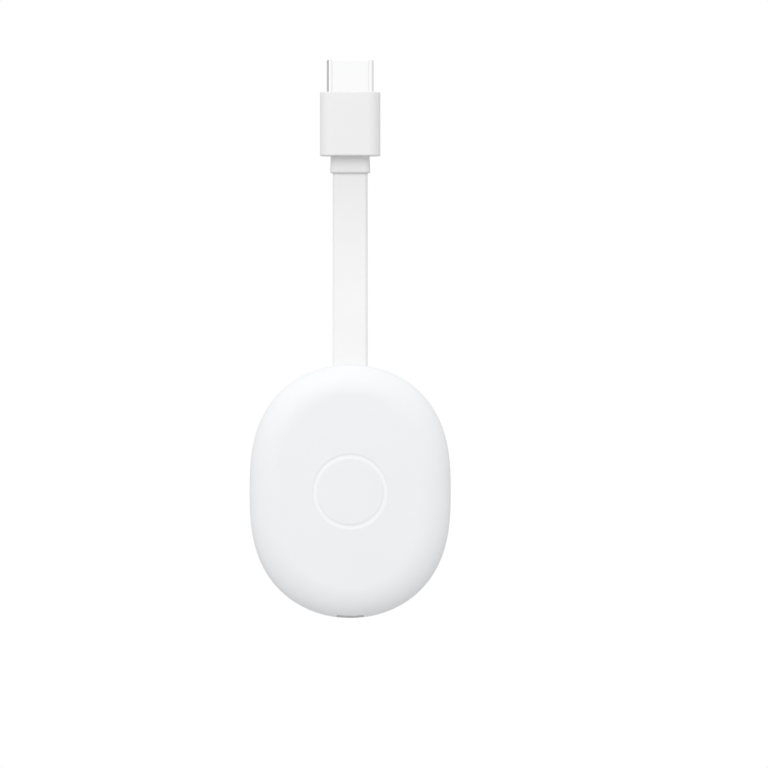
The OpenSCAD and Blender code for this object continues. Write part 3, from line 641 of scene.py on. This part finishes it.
def clear_guide(name, colour, rough):
    """Light guide: frosted clear plastic with faint moulding swirls."""
    f = Finish(name, colour, rough)
    swirl = f.noise(0.5, 3)
    f.shader.inputs["Transmission Weight"].default_value = 0.45
    f.shader.inputs["IOR"].default_value = 1.49
    f.paint(f.tinted(swirl, 0.08))
    f.gloss(swirl, 0.08)
    f.carve(f.relief(f.noise(0.08, 2), 0.002))
    return f.material


# painted sheen: the lighter colour of the sunk ring's floor
RING_PAINTED_SHEEN = (0.905, 0.92, 0.935)
# painted shade: the darker colour of the cable near the plug
CABLE_PAINTED_SHADE = (0.8, 0.8, 0.8)
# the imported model's plain materials make room for these names
for plain in bpy.data.materials:
    plain.name = "plain_" + plain.name
FINISHES = {m.name: m for m in (
    # the casing carries a painted sheen, lighter on the sunk ring's floor
    moulded("white_casing", (0.855, 0.87, 0.885), 0.5, 0.16, 0.004, specular=0.35,
            painted_light=(RING_PAINTED_SHEEN, ring_floor_painted_sheen)),
    moulded("white_button", (0.855, 0.87, 0.885), 0.46, 0.16, 0.003, specular=0.35),
    # the cable carries a painted shade, darker towards the plug
    moulded("cable_white", (0.905, 0.905, 0.905), 0.42, 0.3, 0.002, 0.015, 9.0, specular=0.4,
            painted_light=(CABLE_PAINTED_SHADE, painted_shade_near_plug)),
    moulded("plug_white", (0.815, 0.815, 0.815), 0.5, 0.12, 0.004, 0.01, 8.0, specular=0.4),
    # painted shade: the neck's copy of plug_white, painted darker for the shade under the plug's
    # body
    moulded("plug_white_painted_shade", (0.765, 0.765, 0.765), 0.5, 0.12, 0.004, 0.01, 8.0, specular=0.4),
    moulded("black_insulator", (0.02, 0.02, 0.022), 0.45, 0.1, 0.004, 0.2, 3.0),
    moulded("nylon_white", (0.78, 0.78, 0.77), 0.55, 0.14, 0.006, 0.03, 4.0),
    moulded("led_body", (0.85, 0.83, 0.72), 0.4, 0.1, 0.003, 0.04, 0.8),
    moulded("coil_grey", (0.16, 0.16, 0.17), 0.6, 0.09, 0.012, 0.25, 1.2),
    moulded("capacitor_tan", (0.45, 0.33, 0.2), 0.5, 0.08, 0.006, 0.15, 0.6),
    sheet_metal("plug_metal", (0.96, 0.96, 0.965), 0.085, "z", deep=0.0005, tint=0.015, vary=0.03),
    sheet_metal("port_steel", (0.42, 0.42, 0.43), 0.36, "z", tint=0.08),
    sheet_metal("can_steel", (0.62, 0.62, 0.63), 0.34, "x", spots=1.4, tint=0.07),
    sheet_metal("screw_steel", (0.55, 0.55, 0.57), 0.3, "y", tint=0.06),
    sheet_metal("heat_aluminium", (0.72, 0.73, 0.74), 0.38, "z", grain=0.12, deep=0.003),
    sheet_metal("gold_contact", (0.83, 0.62, 0.25), 0.24, "z", tint=0.05),
    solder_mask("board_green", (0.02, 0.16, 0.07), 0.32),
    packed_chip("chip_black", (0.03, 0.03, 0.032), 0.55),
    soft_pad("gap_pad", (0.35, 0.48, 0.62), 0.7),
    enamelled("wire_cover", (0.7, 0.32, 0.08), 0.3),
    clear_guide("light_guide", (0.5, 0.5, 0.5), 0.3),
)}
SLOTS = {row["node"]: row["material_slot"] for row in frame["record"]["subparts"]}
for node, solid in frame["nodes"].items():
    solid.data.materials[0] = FINISHES[SLOTS[node]]


# Camera, at the photograph's viewing angle and scale

rest_selection()
bpy.ops.object.camera_add(location=CAMERA_PLACE, rotation=(math.pi / 2, 0, 0))
camera = bpy.context.object
camera.data.lens, camera.data.sensor_width = LENS, SENSOR_W
camera.data.clip_start, camera.data.clip_end = NEAREST, FURTHEST
scene.camera = camera


# Flat cable: a round-edged ribbon drawn along its route, held in the puck and in the plug

cable = drawn("cable_jacket", [round_rect(CABLE_W, CABLE_T, CABLE_R, z, CABLE_STEPS)
                               for z in ROUTE_Z])
finished(cable, FINISHES["cable_white"], ["flat_cable"])


# The puck's two covers

def cable_hole(z0, z1):
    w, t, r = CABLE_W + 2 * CABLE_GAP, CABLE_T + 2 * CABLE_GAP, CABLE_R + CABLE_GAP
    return drawn("cable_hole", [round_rect(w, t, r, z, CABLE_STEPS) for z in (z0, z1)])


def on_button(tool):
    tool.data.transform(BUTTON_PLACE)
    return tool


def cover_openings():
    """The tools that open both covers, in two sets whose members stay clear of each other."""
    port = drawn("port_hole", [
        [p + Vector((0, PORT_Y, 0)) for p in round_rect(
            PORT_W + 2 * PORT_GAP, PORT_T + 2 * PORT_GAP, PORT_MOUTH_R, PUCK_Z + z, PORT_STEPS)]
        for z in (-HALF_H - OVER, PORT_END)])
    light = rod("light_hole", LIGHT_R, (LIGHT_X, LIGHT_Y, PUCK_Z - HALF_H - OVER),
                (LIGHT_X, LIGHT_Y, PUCK_Z - HALF_H + LIGHT_HOLE_DEEP))
    bore = on_button(rod("bore", BUTTON_R + BUTTON_GAP, (0, 0, -OVER), (0, 0, SKIRT_Z + SKIRT_H),
                         BUTTON_STEPS))
    x, y = PIPE_W / 2 + PIPE_WALL_GAP, PIPE_T / 2 + PIPE_WALL_GAP
    pocket = block("pipe_pocket", (LIGHT_X - x, LIGHT_X + x), (LIGHT_Y - y, LIGHT_Y + y),
                   (PUCK_Z + PIPE_HEAD - PIPE_WALL_GAP, PUCK_Z + PIPE_HEAD + OVER))
    skirt = on_button(block("skirt_pocket", (-SKIRT_W / 2 - SKIRT_GAP, SKIRT_W / 2 + SKIRT_GAP),
                            (-SKIRT_T / 2 - SKIRT_GAP, SKIRT_T / 2 + SKIRT_GAP),
                            (SKIRT_Z - SKIRT_GAP, SKIRT_Z + SKIRT_H + STEM_LEN)))
    hole = cable_hole(PUCK_Z + ANCHOR_TOP, PUCK_Z + HALF_H + OVER)
    return [port, light, bore, hole], [pocket, skirt]


def anchor_ribs(clamp_y, side_y):
    z = (PUCK_Z + ANCHOR_LOW, PUCK_Z + HALF_H)
    ribs = [block("rib", (x - RIB_T / 2, x + RIB_T / 2), clamp_y, z) for x in (-RIB_X, 0, RIB_X)]
    for side in (-1, 1):
        x = side * (ANCHOR_W / 2 + RIB_FIT + RIB_T / 2)
        ribs.append(block("rib", (x - RIB_T / 2, x + RIB_T / 2), side_y, z))
    return ribs


def ring_groove():
    """Rings of points down into the sunk ring and out of it, with small rounds."""
    top, floor, r = -HALF_T, RING_DEEP - HALF_T, RING_ROUND
    mid = r * ROUND_MID
    outer = [(RING_BORDER, top), (r, top), (mid, top + mid), (0, top + r), (0, floor - r),
             (-mid, floor - mid), (-r, floor)]
    inner = RING_R - RING_W
    return ([disc(RING_R + d, y) for d, y in outer]
            + [disc(inner - d, y) for d, y in reversed(outer)]
            + [disc(RING_CENTRE_R, top)])


def parting(side):
    """Rings from the covers' meeting face out to the skin, round a fine groove."""
    return [oval(PARTING_DEEP, 0), oval(PARTING_DEEP, side * PARTING_GAP),
            oval(PARTING_ROUND, side * PARTING_GAP),
            oval(0, side * (PARTING_GAP + PARTING_ROUND)),
            oval(0, side * (PARTING_GAP + PARTING_ROUND + BORDER))]


front = drawn("front_case", parting(-1)
              + [oval(inset, -y) for inset, y in quarter(EDGE_DEPTH, HALF_T, EDGE_STEPS)]
              + [oval(EDGE_DEPTH + FLAT_BORDER, -HALF_T)] + ring_groove())
room = drawn("front_room", [oval(WALL, OVER, ROOM_STEPS), oval(WALL, 0, ROOM_STEPS)]
             + [oval(WALL + inset, -y, ROOM_STEPS)
                for inset, y in quarter(ROOM_EDGE, ROOM_T, ROOM_EDGE_STEPS)])
cut(room, *anchor_ribs((-HALF_T, -ANCHOR_T / 2), (-HALF_T, -LIP_H - LIP_GAP)))
cut(front, room)
for tools in cover_openings():
    cut(front, *tools)
finished(front, FINISHES["white_casing"], ["front_cover"])

rear = drawn("rear_case", [oval(LIP_OUT + LIP_CHAMFER, -LIP_H),
                           oval(LIP_OUT, LIP_CHAMFER - LIP_H), oval(LIP_OUT, 0)] + parting(1)
             + [oval(inset, y) for inset, y in quarter(EDGE_DEPTH, HALF_T, EDGE_STEPS)]
             + [oval(EDGE_DEPTH + FLAT_BORDER, HALF_T), disc(RING_CENTRE_R, HALF_T)])
above_root = [(inset, y) for inset, y in quarter(ROOM_EDGE, ROOM_T, ROOM_EDGE_STEPS)
              if y > LIP_ROOT]
room = drawn("rear_room", [oval(LIP_IN, -2 * OVER, ROOM_STEPS), oval(LIP_IN, LIP_ROOT, ROOM_STEPS),
                           oval(WALL + edge_in(LIP_ROOT, ROOM_EDGE, ROOM_T), LIP_ROOT, ROOM_STEPS)]
             + [oval(WALL + inset, y, ROOM_STEPS) for inset, y in above_root])
bosses = [(x, z) for x in (-BOSS_X, BOSS_X) for z in (-BOSS_Z, BOSS_Z)]
cut(room, *anchor_ribs((ANCHOR_T / 2, HALF_T), (LIP_ROOT / 2, HALF_T)),
    *[rod("boss", BOSS_R, (x, BOSS_FROM, PUCK_Z + z), (x, HALF_T, PUCK_Z + z))
      for x, z in bosses])
cut(rear, room)
for tools in cover_openings():
    cut(rear, *tools)
cut(rear, *[rod("boss_hole", BOSS_HOLE_R, (x, BOSS_FROM - OVER, PUCK_Z + z),
                (x, ROOM_T + BOSS_FLOOR, PUCK_Z + z), BOSS_HOLE_STEPS) for x, z in bosses])
finished(rear, FINISHES["white_casing"], ["rear_cover"])


# Power port's shell: a folded tube with a rounded lip and a closed back

lip_mid, lip_end = PORT_LIP * ROUND_MID, PORT_TIP + PORT_LIP
port = drawn("port_sleeve", [
    port_outline(inset, z) for inset, z in (
        (0, PORT_END), (0, lip_end + BORDER), (0, lip_end), (lip_mid, PORT_TIP + lip_mid),
        (PORT_LIP, PORT_TIP), (PORT_SHEET - PORT_LIP, PORT_TIP),
        (PORT_SHEET - lip_mid, PORT_TIP + lip_mid), (PORT_SHEET, lip_end),
        (PORT_SHEET, lip_end + BORDER), (PORT_SHEET, PORT_END - PORT_SHEET))])
finished(port, FINISHES["port_steel"], ["port_shell"])


# Reset button: its face follows the puck's skin, with a rounded rim, a skirt and a stem

button = drawn("button_cap", [button_ring(BUTTON_R, SKIRT_Z + SKIRT_H / 2),
                              button_ring(BUTTON_R, None, BUTTON_RIM),
                              button_ring(BUTTON_R - BUTTON_RIM * ROUND_MID, None,
                                          BUTTON_RIM * ROUND_MID),
                              button_ring(BUTTON_R - BUTTON_RIM, None, BUTTON_RIM_DROP),
                              button_ring(BUTTON_R - BUTTON_RIM - BORDER)]
               + [button_ring(BUTTON_R * share) for share in BUTTON_FACE])
skirt = block("skirt", (-SKIRT_W / 2, SKIRT_W / 2), (-SKIRT_T / 2, SKIRT_T / 2),
              (SKIRT_Z, SKIRT_Z + SKIRT_H))
stem = block("stem", (-STEM_W / 2, STEM_W / 2), (STEM_Y - STEM_T / 2, STEM_Y + STEM_T / 2),
             (SKIRT_Z + SKIRT_H / 2, SKIRT_Z + SKIRT_H + STEM_LEN))
combined(button, [skirt], "UNION")
combined(button, [stem], "UNION")
button.data.transform(BUTTON_PLACE)
finished(button, FINISHES["white_button"], ["reset_button"], "button")


# Leaf spring behind the button: a bowed strip; the real one flattens as the button goes in, and
# here it is drawn bowed

def leaf_ring(y):
    """An arc of strip whose crown faces the button, in the button's frame."""
    crown = SKIRT_Z + SKIRT_H + STEM_LEN + LEAF_GAP
    outer = (LEAF_W ** 2 / 4 + LEAF_BOW ** 2) / (2 * LEAF_BOW)
    strip = []
    across = range(-LEAF_STEPS, LEAF_STEPS + 1)
    for r, steps in ((outer, across), (outer - LEAF_SHEET, reversed(across))):
        reach = math.acos((outer - LEAF_BOW) / r) / LEAF_STEPS
        strip += [Vector((r * math.sin(reach * step), STEM_Y + y,
                          crown + outer - r * math.cos(reach * step))) for step in steps]
    return strip


leaf = drawn("bowed_leaf", [leaf_ring(-LEAF_T / 2), leaf_ring(LEAF_T / 2)])
leaf.data.transform(BUTTON_PLACE)
finished(leaf, FINISHES["gold_contact"], ["switch_spring"])
foot = Vector(BUTTON_PLACE @ Vector((0, STEM_Y, leaf_ring(0)[0].z))) * MM
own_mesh(leaf)


# Light guide: a domed pin on a small block behind the wall

def pin_ring(radius, z, steps=PIN_STEPS):
    middle = Vector((LIGHT_X, LIGHT_Y, z))
    return [middle + radius * Vector((math.cos(2 * math.pi * k / steps),
                                      math.sin(2 * math.pi * k / steps), 0)) for k in range(steps)]


pin_r, pin_tip = LIGHT_R - PIPE_GAP, PUCK_Z - skin_z(LIGHT_X, LIGHT_Y) + PIPE_BACK
pipe_z = (PUCK_Z + PIPE_HEAD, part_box("light_pipe")[1].z / MM)
guide = drawn("guide_pin", [pin_ring(pin_r, sum(pipe_z) / 2)] + [
    pin_ring(pin_r * math.cos(turn), pin_tip + PIN_DOME * (1 - math.sin(turn)))
    for turn in map(math.radians, PIN_TURNS)])
guide_foot = block("guide_foot", (LIGHT_X - PIPE_W / 2, LIGHT_X + PIPE_W / 2),
                   (LIGHT_Y - PIPE_T / 2, LIGHT_Y + PIPE_T / 2), pipe_z)
combined(guide, [guide_foot], "UNION")
finished(guide, FINISHES["light_guide"], ["light_pipe"])


# Plug: moulded body, neck and folded metal shell

def body_ring(inset, z):
    return round_rect(BODY_W - 2 * inset, BODY_T - 2 * inset, BODY_R - inset, z)


body = drawn("plug_grip", [body_ring(inset, -down)
                           for inset, down in rounding(BODY_TOP_ROUND, BODY_TOP_STEPS)]
             + [body_ring(inset, up - BODY_H)
                for inset, up in reversed(list(rounding(BODY_FOOT_ROUND, FOOT_STEPS)))])
shell_hole = drawn("shell_hole", [raised(shell_outline(-FIT), z) for z in (OVER, SHELL_HOLE_END)])
mould_room = drawn("mould_room", [round_rect(MOULD_W, MOULD_T, MOULD_R, z, MOULD_STEPS)
                                  for z in (-BODY_TOP_WALL, BODY_END_WALL - BODY_H)])
cut(body, mould_room)
cut(body, shell_hole, cable_hole(-BODY_H - OVER, BODY_END_WALL - BODY_H + OVER))
finished(body, FINISHES["plug_white"], ["plug_body"])

neck_foot = -BODY_H - NECK_H
neck = drawn("plug_collar", [round_rect(NECK_W - 2 * NECK_FLARE, NECK_T, NECK_R, -BODY_H)] + [
    round_rect(NECK_W - 2 * inset, NECK_T - 2 * inset, NECK_R - inset, neck_foot + up)
    for inset, up in reversed(list(rounding(NECK_ROUND, FOOT_STEPS)))])
cut(neck, cable_hole(neck_foot - OVER, OVER - BODY_H))
# the neck is plug_white, painted darker as painted shade
finished(neck, FINISHES["plug_white_painted_shade"], ["plug_neck"], slot="plug_white")


def shell_ring(outer, inner, z):
    """The folded sheet's section: once round outside from the seam, and back inside."""
    rings = []
    for inset in (outer, inner):
        back = SHELL_T / 2 - inset
        path = ([Vector((-SHELL_SEAM / 2, back))] + shell_outline(inset)
                + [Vector((SHELL_SEAM / 2, back))])
        rings.append(raised(path, z))
    return rings[0] + rings[1][::-1]


shell = drawn("plug_sleeve", [
    shell_ring(outer, SHELL_SHEET - inner, z) for outer, inner, z in (
        (0, 0, -SHELL_ROOT), (0, 0, SHELL_LEN - SHELL_LIP - BORDER), (0, 0, SHELL_LEN - SHELL_LIP),
        (SHELL_LIP * ROUND_MID, SHELL_LIP * ROUND_MID, SHELL_LEN - SHELL_LIP * ROUND_MID),
        (SHELL_LIP, SHELL_LIP, SHELL_LEN))])
finished(shell, FINISHES["plug_metal"], ["plug_shell"])


# Floor, lamps and world

rest_selection()
bpy.ops.mesh.primitive_circle_add(vertices=FLOOR_STEPS, radius=FLOOR_R, fill_type="NGON",
                                  location=(0, 0, FLOOR_Z))
floor = settled("floor")
pale = Finish("pale_floor", (0.95, 0.95, 0.95), 0.9, specular=0.0)
pale.paint(pale.mixed(pale.add("ShaderNodeLightPath", out="Is Camera Ray"),
                      (0.65, 0.65, 0.65), (0.97, 0.97, 0.97)))
swap = pale.add("ShaderNodeMixShader", links={
    0: pale.add("ShaderNodeNewGeometry", out="Backfacing"),
    1: pale.shader.outputs[0], 2: pale.add("ShaderNodeBsdfTransparent")})
pale.link(swap, pale.tree.nodes["Material Output"].inputs["Surface"])
floor.data.materials.append(pale.material)


def lamp(name, location, size, power, aim=(0, 0, -0.08)):
    rest_selection()
    bpy.ops.object.light_add(type="AREA", location=location)
    light = bpy.context.object
    light.name = name
    light.data.size, light.data.energy = size, power
    light.rotation_euler = (Vector(aim) - Vector(location)).to_track_quat("-Z", "Y").to_euler()
    light.visible_camera = False
    return light


lamp("key", (-0.18, -0.68, 0.44), 0.55, 2.7)
lamp("back", (0.15, 0.85, 0.2), 0.8, 1.6).visible_glossy = False

world = bpy.data.worlds.new("studio")
scene.world = world
world.use_nodes = True
studio = Nodes(world.node_tree)
paths = studio.tree.nodes.new("ShaderNodeLightPath").outputs
toward = studio.add("ShaderNodeTexCoord", out="Generated")
turn = studio.math("ARCTAN2", studio.part(toward, "X"),
                   studio.math("MULTIPLY", studio.part(toward, "Y"), -1.0))
ramp = studio.tree.nodes.new("ShaderNodeValToRGB")
studio.link(studio.spread(turn, 0, 1, -math.pi, math.pi), ramp.inputs["Fac"])
# what metal reflects: a white studio with grey flags, by angle from the front, left side below 0
FLAGS = ((-180, 0.64), (-135, 0.64), (-128, 1.0), (-114, 1.0), (-111, 0.02), (-99, 0.02),
         (-96, 1.0), (-84, 1.0), (-82, 0.02), (-65, 0.02), (-62, 1.0), (-43, 1.0), (-40, 0.25),
         (-31, 0.25), (-28, 1.0), (28, 1.0), (31, 0.25), (40, 0.25), (43, 1.0), (62, 1.0),
         (65, 0.58), (82, 0.58), (84, 1.0), (96, 1.0), (99, 0.58), (111, 0.58), (114, 1.0),
         (128, 1.0), (135, 0.64), (180, 0.64))
stops = ramp.color_ramp.elements
while len(stops) > 1:
    stops.remove(stops[0])
for place, (angle, grey) in enumerate(FLAGS):
    position = (angle / 180 + 1) / 2
    stop = stops[0] if place == 0 else stops.new(position)
    stop.position = position
    stop.color = (grey, grey, grey, 1)
mirror = studio.math("MAXIMUM", paths["Is Glossy Ray"], paths["Is Transmission Ray"])
seen = studio.mixed(mirror, SKY, ramp.outputs["Color"])
studio.link(studio.mixed(paths["Is Camera Ray"], seen, WHITE),
            studio.tree.nodes["Background"].inputs["Color"])

scene.view_settings.view_transform = "Standard"

bpy.context.view_layer.update()
